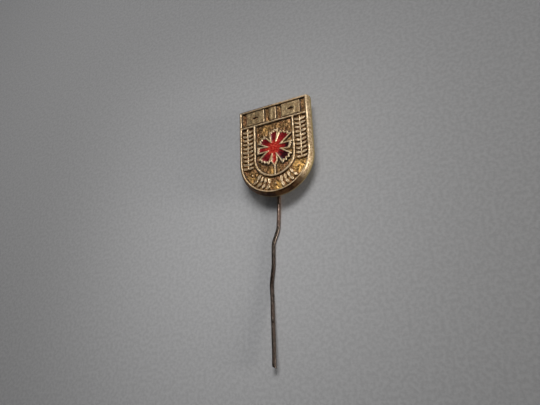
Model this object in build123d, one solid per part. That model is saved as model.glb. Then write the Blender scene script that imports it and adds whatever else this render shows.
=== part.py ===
from build123d import *
import math
import os

# A stick pin: a hollow stamped badge with a red enamelled flower on its face, a back plate
# crimped into the badge's turned lip, and a wire needle riveted and soldered to that plate.
#
# Frame, in millimetres: the badge faces +Z and its top edge is towards +Y. The origin is the
# centre of the bounding box, on the surface that the wire lies on.

# ---- Driving dimensions ----
OVERALL_LENGTH = 51.8       # from the badge's top edge to the needle's tip, along Y
FACE_WIDTH = 15.0           # across the raised rim
FACE_HEIGHT = 12.05         # from the centre of the rounded end to the face's top corners
TOP_BOW = 0.1               # how far the middle of the top edge bows out beyond its corners
FACE_CORNER = 0.2           # radius of the face's two top corners
SMALLEST_CORNER = 0.1       # the same corners further in
BODY_THICKNESS = 1.6
WIRE_DIAMETER = 0.75
FABRIC_GAP = 1.2            # clear space between the wire and the back of the badge

# ---- The badge's edge, from the face down ----
BEVEL_RUN = 0.36            # how far the sloping flank spreads beyond the face
EDGE_HEIGHT = 0.55          # the upright band under the flank
RIM_WIDTH = 0.42
RELIEF_DEPTH = 0.4          # from the rim's top to the sunk ground
WEB_THICKNESS = 0.3         # the sheet under the ground
LIP_THICKNESS = 0.2
LIP_REACH = 0.75            # how far the turned lip runs in under the back plate
EDGE_WALL = 0.35            # the wall around the back plate
PLATE_THICKNESS = 0.45
PLATE_CLEARANCE = 0.02
CAVITY_INSET = 1.0          # from the edge's outside to the hollow behind the face

# ---- Heights ----
WIRE_RADIUS = WIRE_DIAMETER / 2
BACK_Z = WIRE_DIAMETER + FABRIC_GAP
FACE_Z = BACK_Z + BODY_THICKNESS
GROUND_Z = FACE_Z - RELIEF_DEPTH
PLATE_Z = BACK_Z + LIP_THICKNESS
PLATE_TOP_Z = PLATE_Z + PLATE_THICKNESS
CAVITY_TOP_Z = GROUND_Z - WEB_THICKNESS
CENTRE_Y = OVERALL_LENGTH / 2 - FACE_HEIGHT - TOP_BOW - BEVEL_RUN   # centre of the badge's rounded end

# ---- Lines on the face, measured from the centre of the rounded end ----
LINE_WIDTH = 0.38
CROSSBAR_Y = 8.12           # the line under the top band
PANEL_RADIUS = 4.2          # centreline of the U that frames the flower
PANEL_Y = 0.29              # centre of the U's round end

# ---- The three blocks in the top band ----
BLOCK_WIDTHS = (4.0, 1.45, 4.0)
BLOCK_BOTTOM = 8.5
BLOCK_TOP = 11.45
LOZENGE = (1.5, 0.75)       # the sunk diamond in each wide block

# ---- Garland around the sides and the rounded end ----
GARLAND_RADIUS = 5.72       # its centreline, midway between the U and the rim
LEAF_LENGTH = 1.2
LEAF_WIDTH = 0.46
LEAF_ANGLE = 14.0           # how far a leaf rises above the line across the garland, degrees
LEAF_PITCH = 0.92
SIDE_LEAF_PAIRS = 10
SIDE_START_Y = -1.45
SPRIG_LEAF_PAIRS = 4
SPRIG_ANGLES = (-77.0, -103.0)   # where the two short sprigs start, degrees round the end
SPINE_WIDTH = 0.16
DOT_RADIUS = 0.26
DOT_ANGLES = (-31.0, -90.0, -149.0)

# ---- The flower ----
FLOWER_Y = 2.05
VALLEY_RADIUS = 1.35        # reach of the corner between two petals
TEETH = 4                   # tips along the end of a petal
NOTCH_RATIO = 0.9           # a notch's reach over that of the tips beside it
PETALS = [                  # angle, half angle, reach at the start and at the end
    (50, 17.0, 4.25, 3.65),
    (90, 13.0, 4.05, 3.65),
    (140, 14.0, 3.5, 3.7),
    (180, 9.5, 3.55, 3.65),
    (230, 17.5, 3.85, 3.55),
    (312, 16.5, 3.95, 4.15),
    (357, 10.5, 3.35, 3.7),
]
BUD = (269, 11.0, 2.95, 3.8)   # angle, half angle, reach of its shoulders and of its point
LINE_OUTSIDE = 0.2          # how far the raised line spreads outside the flower's outline
LINE_INSIDE = 0.13          # and inside it
STEM_WIDTH = 0.32
STEM_BEND = 0.08            # how far the stem's middle stands to one side
ENAMEL_DEPTH_BELOW_RIM = 0.1

# ---- Needle, measured from the centre of the rounded end ----
ANCHOR_Y = 2.0
KINK_START = (-1.13, -13.72)
KINK_END = (-2.23, -16.5)
LIFT_START = (-2.82, -25.05)
TIP_X = -2.54
TIP_RISE = 0.9              # how far the tip stands above the surface
NECK_BEND = 0.9             # radius of the wire's centreline under the plate
KINK_RADIUS = 3.0
LIFT_RADIUS = 20.0
RIVET_RADIUS = 0.62
RIVET_HEIGHT = 0.2
TIP_CUT_ANGLE = 30.0        # the wire's end is nipped off at a slant

# ---- Collar and solder around the wire's neck ----
COLLAR_RADIUS = 1.0
COLLAR_FLANGE_RADIUS = 1.6
COLLAR_FLANGE_HEIGHT = 0.25
COLLAR_HEIGHT = 0.75
SOLDER_RADIUS = 2.1
SOLDER_HEIGHT = 0.3
SOLDER_FOOT = 0.05          # the solder's width at the flange's lower edge

CUT_MARGIN = 1.0            # how far a cutting solid runs on past what it cuts
CUTTER_SIZE = 4.0           # the block that nips off the wire's end


def on_badge(x, y):
    """A point on the badge, given from the centre of its rounded end."""
    return (x, CENTRE_Y + y)


def polar(reach, degrees, centre_y=0.0):
    """A point at a reach and an angle round a point on the badge's centreline."""
    angle = math.radians(degrees)
    return on_badge(reach * math.cos(angle), centre_y + reach * math.sin(angle))


def shield(inset):
    """The badge's outline, flat on XY, drawn in by inset from the face's outline."""
    half = FACE_WIDTH / 2 - inset
    top = FACE_HEIGHT - inset
    border = [
        ThreePointArc((-half, top), (0, top + TOP_BOW), (half, top)),
        Line((half, top), (half, 0)),
        ThreePointArc((half, 0), (0, -half), (-half, 0)),
        Line((-half, 0), (-half, top)),
    ]
    outline = make_face(border)
    corners = outline.vertices().sort_by(Axis.Y)[-2:]
    outline = fillet(corners, max(FACE_CORNER - inset, SMALLEST_CORNER))
    return Pos(0, CENTRE_Y) * outline


def slab(outline, bottom, top):
    """A flat outline made into a solid between two heights."""
    return extrude(Pos(0, 0, bottom) * outline, amount=top - bottom)


def petal_corners(angle, half_angle, first_reach, last_reach):
    """The corners along a petal's toothed end, anticlockwise."""
    steps = 2 * TEETH - 2
    corners = []
    for step in range(steps + 1):
        share = step / steps
        reach = first_reach + (last_reach - first_reach) * share
        if step % 2:
            reach *= NOTCH_RATIO
        corners.append(polar(reach, angle + half_angle * (2 * share - 1), FLOWER_Y))
    return corners


def bud_corners(angle, half_angle, shoulder, point):
    """The corners of the plain bud that joins the stem, anticlockwise."""
    return [
        polar(shoulder, angle - half_angle, FLOWER_Y),
        polar(point, angle, FLOWER_Y),
        polar(shoulder, angle + half_angle, FLOWER_Y),
    ]


def flower(growth):
    """The flower's outline, grown or shrunk: toothed petals, and a bud where the stem joins."""
    corners = []
    ring = sorted([*PETALS, BUD])
    last_end = ring[-1][0] + ring[-1][1] - 360
    for part in ring:
        angle, half_angle = part[:2]
        corners.append(polar(VALLEY_RADIUS, (last_end + angle - half_angle) / 2, FLOWER_Y))
        corners += bud_corners(*part) if part is BUD else petal_corners(*part)
        last_end = angle + half_angle
    return offset(Polygon(*corners, align=None), growth)


def flower_lines():
    """The raised line round the flower, and its stem."""
    stem_top = polar(BUD[3], BUD[0], FLOWER_Y)
    stem_foot = on_badge(0, PANEL_Y - PANEL_RADIUS)
    middle = (STEM_BEND, (stem_top[1] + stem_foot[1]) / 2)
    stem = trace(ThreePointArc(stem_top, middle, stem_foot), STEM_WIDTH)
    return (flower(LINE_OUTSIDE) + stem) - flower(-LINE_INSIDE)


def panel_frame():
    """The U-shaped line round the flower, and the line under the top band."""
    half = LINE_WIDTH / 2
    ring = Circle(PANEL_RADIUS + half) - Circle(PANEL_RADIUS - half)
    low_half = Rectangle(4 * PANEL_RADIUS, 2 * PANEL_RADIUS, align=(Align.CENTER, Align.MAX))
    frame = Pos(0, PANEL_Y) * (ring & low_half)
    for side in (-1, 1):
        upright = Rectangle(LINE_WIDTH, CROSSBAR_Y - PANEL_Y, align=(Align.CENTER, Align.MIN))
        frame += Pos(side * PANEL_RADIUS, PANEL_Y) * upright
    frame += Pos(0, CROSSBAR_Y) * Rectangle(FACE_WIDTH - RIM_WIDTH, LINE_WIDTH)
    return Pos(0, CENTRE_Y) * frame


def band_blocks():
    """The plain blocks in the top band: two wide ones with a sunk diamond, and a narrow one."""
    height = BLOCK_TOP - BLOCK_BOTTOM
    field = FACE_WIDTH - 2 * RIM_WIDTH
    gap = (field - sum(BLOCK_WIDTHS)) / (len(BLOCK_WIDTHS) + 1)
    left = -field / 2 + gap
    blocks = []
    for width in BLOCK_WIDTHS:
        block = Rectangle(width, height)
        if width > height:
            half_long, half_short = LOZENGE[0] / 2, LOZENGE[1] / 2
            block -= Polygon((half_long, 0), (0, half_short), (-half_long, 0), (0, -half_short), align=None)
        blocks.append(Pos(left + width / 2, CENTRE_Y + BLOCK_BOTTOM + height / 2) * block)
        left += width + gap
    return blocks


def leaf():
    """One pointed leaf that starts at the origin and runs along +X."""
    side = LEAF_WIDTH / 2
    edge = ThreePointArc((0, 0), (LEAF_LENGTH / 2, side), (LEAF_LENGTH, 0))
    back = ThreePointArc((LEAF_LENGTH, 0), (LEAF_LENGTH / 2, -side), (0, 0))
    return make_face(edge + back)


def leaf_pair():
    """Two leaves that spread from a small knot on a branch running along +Y."""
    knot = Circle(SPINE_WIDTH)
    return [knot, Rot(0, 0, LEAF_ANGLE) * leaf(), Rot(0, 0, 180 - LEAF_ANGLE) * leaf()]


def garland():
    """A leafy branch up each side, two short sprigs round the end, and three dots between."""
    shapes = []
    for side in (-1, 1):
        length = SIDE_LEAF_PAIRS * LEAF_PITCH
        spine = Rectangle(SPINE_WIDTH, length, align=(Align.CENTER, Align.MIN))
        base = Pos(side * GARLAND_RADIUS, CENTRE_Y + SIDE_START_Y)
        shapes.append(base * spine)
        for index in range(SIDE_LEAF_PAIRS):
            shapes += [base * Pos(0, index * LEAF_PITCH) * one for one in leaf_pair()]
    step = math.degrees(LEAF_PITCH / GARLAND_RADIUS)
    for start in SPRIG_ANGLES:
        turn = 1 if start > -90 else -1
        for index in range(SPRIG_LEAF_PAIRS):
            angle = start + turn * index * step
            heading = angle + 90 if turn > 0 else angle - 90
            place = Pos(*polar(GARLAND_RADIUS, angle)) * Rot(0, 0, heading - 90)
            shapes += [place * one for one in leaf_pair()]
    shapes += [Pos(*polar(GARLAND_RADIUS, angle)) * Circle(DOT_RADIUS) for angle in DOT_ANGLES]
    return shapes


def front_shell():
    """The stamped shell: raised rim and relief, sloping flank, upright edge and turned lip."""
    bevel_drop = BODY_THICKNESS - EDGE_HEIGHT
    edge = slab(shield(-BEVEL_RUN), BACK_Z, BACK_Z + EDGE_HEIGHT)
    flank = loft([
        Pos(0, 0, BACK_Z + EDGE_HEIGHT) * shield(-BEVEL_RUN),
        Pos(0, 0, BACK_Z + EDGE_HEIGHT + bevel_drop) * shield(0),
    ])
    body = edge + flank
    raised = [panel_frame(), flower_lines(), *band_blocks(), *garland()]
    body -= slab(shield(RIM_WIDTH) - raised, GROUND_Z, FACE_Z + CUT_MARGIN)
    body -= slab(shield(CAVITY_INSET - BEVEL_RUN), PLATE_TOP_Z, CAVITY_TOP_Z)
    body -= slab(shield(EDGE_WALL - BEVEL_RUN), PLATE_Z, PLATE_TOP_Z)
    return body - slab(shield(LIP_REACH - BEVEL_RUN), BACK_Z - CUT_MARGIN, PLATE_Z)


def red_enamel():
    """The one pool of enamel that fills the flower's centre, petals and bud."""
    return slab(flower(-LINE_INSIDE), GROUND_Z, FACE_Z - ENAMEL_DEPTH_BELOW_RIM)


def back_plate():
    """The flat plate that closes the shell, with a hole for the wire's neck."""
    plate = slab(shield(EDGE_WALL - BEVEL_RUN + PLATE_CLEARANCE), PLATE_Z, PLATE_TOP_Z)
    return plate - neck_hole(PLATE_Z, PLATE_TOP_Z)


def neck_hole(bottom, top):
    """The round space that the wire's neck fills between two heights."""
    return slab(Pos(*on_badge(0, ANCHOR_Y)) * Circle(WIRE_RADIUS), bottom - CUT_MARGIN, top + CUT_MARGIN)


def needle():
    """The wire: riveted head, neck, square bend, kinked shank and a tip nipped at a slant."""
    head_z = PLATE_TOP_Z + RIVET_HEIGHT
    tip_y = -OVERALL_LENGTH / 2
    route = [
        (*on_badge(0, ANCHOR_Y), head_z),
        (*on_badge(0, ANCHOR_Y), WIRE_RADIUS),
        (*on_badge(*KINK_START), WIRE_RADIUS),
        (*on_badge(*KINK_END), WIRE_RADIUS),
        (*on_badge(*LIFT_START), WIRE_RADIUS),
        (TIP_X, tip_y, WIRE_RADIUS + TIP_RISE),
    ]
    radii = [NECK_BEND, KINK_RADIUS, KINK_RADIUS, LIFT_RADIUS]
    path = FilletPolyline(*route, radius=radii)
    wire = sweep(Plane(route[0], z_dir=(0, 0, -1)) * Circle(WIRE_RADIUS), path=path)
    run = Vector(*route[-1]) - Vector(*route[-2])
    block = Pos(0, 0, CUTTER_SIZE / 2) * Box(CUTTER_SIZE, CUTTER_SIZE, CUTTER_SIZE)
    cutter = Plane(route[-1], z_dir=run) * Rot(0, TIP_CUT_ANGLE, 0) * block
    cutter = Pos(0, WIRE_RADIUS * math.tan(math.radians(TIP_CUT_ANGLE)), 0) * cutter
    head = slab(Pos(*on_badge(0, ANCHOR_Y)) * Circle(RIVET_RADIUS), PLATE_TOP_Z, head_z)
    return (wire - cutter) + head


def needle_collar():
    """The flanged ring that stiffens the wire's neck under the plate."""
    centre = Pos(*on_badge(0, ANCHOR_Y))
    flange = slab(centre * Circle(COLLAR_FLANGE_RADIUS), PLATE_Z - COLLAR_FLANGE_HEIGHT, PLATE_Z)
    barrel = slab(centre * Circle(COLLAR_RADIUS), PLATE_Z - COLLAR_HEIGHT, PLATE_Z)
    return flange + barrel - neck_hole(PLATE_Z - COLLAR_HEIGHT, PLATE_Z)


def solder_fillet():
    """The ring of solder that runs up around the collar's flange."""
    centre = Pos(*on_badge(0, ANCHOR_Y))
    ring = Cone(
        COLLAR_FLANGE_RADIUS + SOLDER_FOOT,
        SOLDER_RADIUS,
        SOLDER_HEIGHT,
        align=(Align.CENTER, Align.CENTER, Align.MIN),
    )
    bore = slab(centre * Circle(COLLAR_FLANGE_RADIUS), BACK_Z - CUT_MARGIN, PLATE_Z + CUT_MARGIN)
    return Pos(0, 0, PLATE_Z - SOLDER_HEIGHT) * centre * ring - bore


NODES = {
    "front_shell": front_shell,
    "red_enamel": red_enamel,
    "back_plate": back_plate,
    "needle": needle,
    "needle_collar": needle_collar,
    "solder_fillet": solder_fillet,
}


def main():
    os.makedirs("parts", exist_ok=True)
    for name, build in NODES.items():
        shape = build()
        export_step(shape, f"parts/{name}.step")
        box = shape.bounding_box()
        print(f"{name}: {len(shape.solids())} solid, {shape.volume:.3f} mm3, {box.min} to {box.max}")


main()
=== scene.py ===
import math

import bpy
import numpy as np
from mathutils import Euler, Matrix, Vector


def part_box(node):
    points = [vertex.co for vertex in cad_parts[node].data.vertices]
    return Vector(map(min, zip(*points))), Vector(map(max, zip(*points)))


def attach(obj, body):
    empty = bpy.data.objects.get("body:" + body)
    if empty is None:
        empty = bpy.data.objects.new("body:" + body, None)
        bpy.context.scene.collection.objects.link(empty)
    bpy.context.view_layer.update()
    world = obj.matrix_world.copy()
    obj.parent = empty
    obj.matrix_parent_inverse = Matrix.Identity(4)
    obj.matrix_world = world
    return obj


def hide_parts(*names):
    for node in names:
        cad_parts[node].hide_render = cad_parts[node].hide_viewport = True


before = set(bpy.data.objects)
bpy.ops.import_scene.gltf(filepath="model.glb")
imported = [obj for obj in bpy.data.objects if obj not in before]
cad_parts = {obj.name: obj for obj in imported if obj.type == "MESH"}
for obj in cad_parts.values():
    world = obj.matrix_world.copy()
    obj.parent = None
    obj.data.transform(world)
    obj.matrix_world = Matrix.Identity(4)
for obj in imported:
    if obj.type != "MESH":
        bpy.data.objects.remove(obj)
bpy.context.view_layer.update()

# The looks of a stick pin: a stamped and gilt shield with a red enamelled flower, on a long wire.
# The dimensions are in millimetres, and the objects are made in metres. Shapes on the face are
# drawn from the centre of the badge's rounded end, with heights measured from the face's rim.

MM = 0.001
SEED = 11

# ---- From the frame ----
SHELL_LOW, SHELL_HIGH = [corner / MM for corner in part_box("front_shell")]
PLATE_LOW, PLATE_HIGH = [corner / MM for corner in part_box("back_plate")]
COLLAR_LOW, COLLAR_HIGH = [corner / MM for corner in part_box("needle_collar")]
SOLDER_LOW, SOLDER_HIGH = [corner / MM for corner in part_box("solder_fillet")]
NEEDLE_LOW, NEEDLE_HIGH = [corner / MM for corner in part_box("needle")]

# ---- The badge's edge ----
BEVEL_RUN = 0.36
EDGE_HEIGHT = 0.55
RIM_WIDTH = 0.42
FACE_CORNER = 0.2
TOP_BOW = 0.1               # how far the CAD solid's top edge bows; the edge here runs straight, halfway
LIP_REACH = 0.75
EDGE_WALL = 0.35
CAVITY_INSET = 1.0
RELIEF_DEPTH = 0.4
WEB_THICKNESS = 0.3
FACE_HALF = SHELL_HIGH.x - BEVEL_RUN
FACE_TOP = (SHELL_HIGH.y - SHELL_LOW.y) - FACE_HALF - 2 * BEVEL_RUN - TOP_BOW / 2
CENTRE_Y = SHELL_HIGH.y - TOP_BOW / 2 - FACE_TOP - BEVEL_RUN
FACE_Z = SHELL_HIGH.z
THICKNESS = SHELL_HIGH.z - SHELL_LOW.z

# ---- Lines on the face ----
GRID_STEP = 0.05            # spacing of the relief's mesh
GRID_INSET = 0.1            # where the relief's mesh stops and the rounded edge begins
LINE_WIDTH = 0.38
CROSSBAR_Y = 8.12
PANEL_RADIUS = 4.2
PANEL_Y = 0.29
BLOCK_WIDTHS = (4.0, 1.45, 4.0)
BLOCK_BOTTOM = 8.5
BLOCK_TOP = 11.45
BLOCK_CORNER = 0.12
LOZENGE = (0.75, 0.34)      # half its length and half its height

# ---- Garland ----
GARLAND_RADIUS = 5.72
LEAF_LENGTH = 1.2
LEAF_WIDTH = 0.5
LEAF_ANGLE = 14.0
LEAF_PITCH = 0.92
SIDE_LEAF_PAIRS = 10
SIDE_START_Y = -1.45
SPRIG_LEAF_PAIRS = 4
SPRIG_ANGLES = (-77.0, -103.0)
SPINE_WIDTH = 0.16
LEAF_GROWTH = 0.035         # how much further out the raised leaves stand than their outline
GROOVE = (0.05, 0.02)       # half width and depth of the groove along a leaf
DOT_RADIUS = 0.26
DOT_SKIRT = 1.15            # a dot's foot over its nominal radius
DOT_SHARE = 0.8             # its height over the relief's depth
DOT_ANGLES = (-31.0, -90.0, -149.0)

# ---- Raised work: its height over the relief's depth, and how far its wall spreads ----
RIM_RISE = (1.0, 0.13)
PANEL_RISE = (0.97, 0.11)
FLOWER_RISE = (1.0, 0.09)
BLOCK_RISE = (0.86, 0.1)
LEAF_RISE = (0.88, 0.1)
SHOULDER = -0.05            # how far inside its outline raised work begins to fall

# ---- Dots in a jittered lattice: pitch, radius, height and number of the random draw ----
GROUND_DOTS = (0.21, 0.13, 0.02, 0)
BLOCK_PITS = (0.3, 0.1, 0.018, 2)

# ---- Smooth unevenness: pitch, size and number of the random draw ----
LINE_WAVER = (0.55, 0.03, 12)
LEAF_SWELL = (0.8, 0.07, 13)
GROUND_GRAIN = (0.16, 0.01, 1)
GROUND_LUMPS = (0.6, 0.034, 14)
SMALL_LUMPS = (0.3, 0.02, 15)
BLOCK_WEAR = (0.5, 0.014, 16)
FACE_SWAY = (1.4, 0.012, 3)
SMALL_SWAY = (0.5, 0.006, 4)
FLANK_DENTS = (0.7, 0.016, 5)
ENAMEL_SWELL = (0.5, 0.016, 6)
ENAMEL_RIPPLE = (0.28, 0.006, 17)
SHADE_DRIFT = (0.7, 0.35, 18)
WIRE_SWAY = (3.7, 0.035, 7)
WIRE_THINNING = (0.9, 0.012, 8)
PLATE_DISH = (2.6, 0.02, 9)
PLATE_DINTS = (0.9, 0.006, 10)

# Painted reflected glow, where warm light thrown off the flank brightens the ground: x, y, spread and share
REFLECTED_GLOW_SPOTS = ((5.1, -3.0, 1.3, 1.0), (0.6, -6.3, 0.9, 1.0), (-0.5, -2.9, 0.7, 0.8), (-4.9, -3.6, 1.1, 0.35),
              (3.0, 0.6, 0.8, 0.5), (-1.7, 6.6, 0.8, 0.4))

# ---- Flower ----
FLOWER_Y = 2.05
VALLEY_RADIUS = 1.35
TEETH = 4
NOTCH_RATIO = 0.9
PETALS = [                  # angle, half angle, reach at the start and at the end
    (50, 17.0, 4.25, 3.65),
    (90, 13.0, 4.05, 3.65),
    (140, 14.0, 3.5, 3.7),
    (180, 9.5, 3.55, 3.65),
    (230, 17.5, 3.85, 3.55),
    (312, 16.5, 3.95, 4.15),
    (357, 10.5, 3.35, 3.7),
]
BUD = (269, 11.0, 2.95, 3.8)
SHADES = {50: 0.42, 90: 0.66, 140: 0.7, 180: 0.5, 230: 0.66, 269: 0.08, 312: 0.95, 357: 1.0}
LINE_OUTSIDE = 0.2
LINE_INSIDE = 0.13
STEM_WIDTH = 0.32
STEM_BEND = 0.08

# ---- Enamel ----
ENAMEL_TOP = -0.1
ENAMEL_STEP = 0.045         # spacing of its mesh
ENAMEL_SAG = 0.05           # how far it lies lower away from its walls
ENAMEL_CROWN = (0.04, 1.1)  # height and spread of its swell in the middle
ENAMEL_GAP = 0.02           # between its outline and the raised line
ENAMEL_SINK = 0.02          # how far it reaches under the ground

# ---- Needle ----
WIRE_RADIUS = 0.375
ANCHOR_Y = 2.0
KINK_START = (-1.13, -13.72)
KINK_END = (-2.23, -16.5)
LIFT_START = (-2.82, -25.05)
TIP_X = -2.54
TIP_RISE = 0.9
NECK_BEND = 0.9
KINK_RADIUS = 3.0
LIFT_RADIUS = 20.0
TIP_CUT_ANGLE = 30.0
CUT_RINGS = 5               # rings of the wire's mesh that lean with the cut
BURR = ((0.96, 0.02), (0.8, 0.045), (0.4, 0.05))       # the cut's rings: share of the radius, and height
WIRE_DENTS = ((24.6, 1.7, 0.09), (28.4, 1.7, -0.11))   # place along the wire, spread and sideways shift
ROUTE_STEP = 0.12           # spacing of the centreline's points in bends
ROUTE_GAP = 0.3             # and on straight runs
WIRE_SIDES = 32

# ---- Rounded edges ----
RIM_ROUND = 0.085
FLANK_ROUND = 0.08
BACK_ROUND = 0.12
LIP_ROUND = 0.08
PLATE_ROUND = 0.06

# ---- Collar and solder ----
BARREL_RADIUS = 1.0
FLANGE_HEIGHT = 0.25
BORE_CLEARANCE = 0.002
COLLAR_SIDES = 96
SOLDER_SIDES = 128
SOLDER_CURVE = 1.6          # how hollow the fillet is
SOLDER_WAVES = ((0.05, 2, 0.7), (0.03, 5, 2.1), (0.015, 11, 0.0))   # size, waves round the ring and start
SOLDER_DRAW_IN = 0.09       # keeps its waves inside the CAD solid

# ---- Camera: its place from the centre of the badge's rounded end and the face, and its turn ----
CAMERA_PLACE = (37.06, -49.08, 83.21)
CAMERA_TURN = (22.498, 25.487, -2.051)      # degrees about X, Y and Z
LENS = 35.33
SENSOR = 36.0
FLOOR_SIZE = 1800.0


# ======== Numbers on grids ========

def smooth_step(low, high, value):
    """0 below low, 1 above high, and a smooth rise between."""
    share = np.clip((value - low) / (high - low), 0, 1)
    return share * share * (3 - 2 * share)


def ripple(x, y, pitch, size, draw):
    """Smooth noise from -size to size that changes over about one pitch."""
    table = np.random.RandomState(SEED + draw).uniform(-1, 1, (64, 64))
    column, row = np.floor(x / pitch).astype(int), np.floor(y / pitch).astype(int)
    across, along = x / pitch - column, y / pitch - row
    across = across * across * (3 - 2 * across)
    along = along * along * (3 - 2 * along)
    corners = [table[(row + j) % 64, (column + i) % 64] for j in (0, 1) for i in (0, 1)]
    low = corners[0] * (1 - across) + corners[1] * across
    high = corners[2] * (1 - across) + corners[3] * across
    return (low * (1 - along) + high * along) * size


def stipple(x, y, pitch, radius, height, draw):
    """Round dots, one in each cell of a jittered lattice: height at a dot's middle, 0 beyond radius."""
    jitter = np.random.RandomState(SEED + draw).uniform(0.15, 0.85, (64, 64, 2))
    column, row = np.floor(x / pitch).astype(int), np.floor(y / pitch).astype(int)
    nearest = np.full(np.shape(x), np.inf)
    for j in (-1, 0, 1):
        for i in (-1, 0, 1):
            spot = jitter[(row + j) % 64, (column + i) % 64]
            across = (column + i + spot[..., 0]) * pitch - x
            along = (row + j + spot[..., 1]) * pitch - y
            nearest = np.minimum(nearest, np.hypot(across, along))
    return (1 - smooth_step(0, radius, nearest)) * height


def segment_distance(x, y, start, end):
    """Distance from each point to a straight segment."""
    dx, dy = end[0] - start[0], end[1] - start[1]
    share = np.clip(((x - start[0]) * dx + (y - start[1]) * dy) / (dx * dx + dy * dy), 0, 1)
    return np.hypot(x - start[0] - share * dx, y - start[1] - share * dy)


def outline_distance(x, y, corners):
    """Signed distance to a closed outline, negative inside."""
    distance = np.full(np.shape(x), np.inf)
    inside = np.zeros(np.shape(x), bool)
    for index, end in enumerate(corners):
        start = corners[index - 1]
        distance = np.minimum(distance, segment_distance(x, y, start, end))
        if start[1] != end[1]:
            crosses = (start[1] > y) != (end[1] > y)
            at = start[0] + (y - start[1]) * (end[0] - start[0]) / (end[1] - start[1])
            inside ^= crosses & (x < at)
    return np.where(inside, -distance, distance)


def box_distance(x, y, centre, half_width, half_height, corner):
    """Signed distance to a rectangle with rounded corners."""
    across = np.abs(x - centre[0]) - half_width + corner
    along = np.abs(y - centre[1]) - half_height + corner
    outside = np.hypot(np.maximum(across, 0), np.maximum(along, 0))
    return outside + np.minimum(np.maximum(across, along), 0) - corner


def leaf_distance(x, y, base, heading):
    """Signed distance to a pointed leaf that starts at base, and the distance to its midrib."""
    cosine, sine = math.cos(heading), math.sin(heading)
    along = (x - base[0]) * cosine + (y - base[1]) * sine
    across = np.abs((y - base[1]) * cosine - (x - base[0]) * sine)
    half, side = LEAF_LENGTH / 2, LEAF_WIDTH / 2
    radius = (half * half + side * side) / (2 * side)
    arc = np.hypot(along - half, across + radius - side) - radius
    ends = np.minimum(np.hypot(along, across), np.hypot(along - LEAF_LENGTH, across))
    beyond = (along < 0) | (along > LEAF_LENGTH)
    return np.where(beyond, np.maximum(ends, arc), arc), across


# ======== What is stamped on the face ========

def polar(reach, degrees, centre_y=0.0):
    angle = math.radians(degrees)
    return reach * math.cos(angle), centre_y + reach * math.sin(angle)


def petal_corners(angle, half_angle, first_reach, last_reach):
    """The corners along a petal's toothed end, anticlockwise."""
    steps = 2 * TEETH - 2
    corners = []
    for step in range(steps + 1):
        share = step / steps
        reach = first_reach + (last_reach - first_reach) * share
        if step % 2:
            reach *= NOTCH_RATIO
        corners.append(polar(reach, angle + half_angle * (2 * share - 1), FLOWER_Y))
    return corners


def bud_corners(angle, half_angle, shoulder, point):
    """The corners of the plain bud that joins the stem, anticlockwise."""
    return [
        polar(shoulder, angle - half_angle, FLOWER_Y),
        polar(point, angle, FLOWER_Y),
        polar(shoulder, angle + half_angle, FLOWER_Y),
    ]


def flower_corners():
    """The flower's corners, anticlockwise: toothed petals, and a bud where the stem joins."""
    corners = []
    ring = sorted([*PETALS, BUD])
    last_end = ring[-1][0] + ring[-1][1] - 360
    for part in ring:
        angle, half_angle = part[:2]
        corners.append(polar(VALLEY_RADIUS, (last_end + angle - half_angle) / 2, FLOWER_Y))
        corners += bud_corners(*part) if part is BUD else petal_corners(*part)
        last_end = angle + half_angle
    return corners


def stem_distance(x, y):
    """Signed distance to the bent stem under the bud."""
    top, foot = FLOWER_Y - BUD[3], PANEL_Y - PANEL_RADIUS
    middle = (STEM_BEND, (top + foot) / 2)
    upper = segment_distance(x, y, (0, top), middle)
    lower = segment_distance(x, y, middle, (0, foot))
    return np.minimum(upper, lower) - STEM_WIDTH / 2


def panel_distance(x, y):
    """Signed distance to the U round the flower and the line under the top band."""
    reach = np.where(y > PANEL_Y, np.abs(x), np.hypot(x, y - PANEL_Y))
    to_path = np.abs(reach - PANEL_RADIUS)
    frame_line = np.maximum(to_path - LINE_WIDTH / 2, y - CROSSBAR_Y)
    crossbar = np.abs(y - CROSSBAR_Y) - LINE_WIDTH / 2
    return np.minimum(frame_line, crossbar)


def block_distance(x, y):
    """Signed distance to the blocks in the top band, less their sunk diamonds."""
    field = 2 * (FACE_HALF - RIM_WIDTH)
    gap = (field - sum(BLOCK_WIDTHS)) / (len(BLOCK_WIDTHS) + 1)
    height = BLOCK_TOP - BLOCK_BOTTOM
    left = -field / 2 + gap
    distance = np.full(np.shape(x), np.inf)
    for width in BLOCK_WIDTHS:
        centre = (left + width / 2, BLOCK_BOTTOM + height / 2)
        block = box_distance(x, y, centre, width / 2, height / 2, BLOCK_CORNER)
        if width > height:
            across, along = np.abs(x - centre[0]) / LOZENGE[0], np.abs(y - centre[1]) / LOZENGE[1]
            lozenge = (across + along - 1) * LOZENGE[1]
            block = np.maximum(block, -lozenge)
        distance = np.minimum(distance, block)
        left += width + gap
    return distance


def leaf_places():
    """Base point and heading of every leaf."""
    places = []
    spread = math.radians(90 - LEAF_ANGLE)
    for side in (-1, 1):
        for index in range(SIDE_LEAF_PAIRS):
            base = (side * GARLAND_RADIUS, SIDE_START_Y + index * LEAF_PITCH)
            places += [(base, math.pi / 2 + turn) for turn in (-spread, spread)]
    step = math.degrees(LEAF_PITCH / GARLAND_RADIUS)
    for start in SPRIG_ANGLES:
        turn_way = 1 if start > -90 else -1
        for index in range(SPRIG_LEAF_PAIRS):
            angle = start + turn_way * index * step
            heading = math.radians(angle + 90 * turn_way)
            places += [(polar(GARLAND_RADIUS, angle), heading + turn) for turn in (-spread, spread)]
    return places


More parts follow.
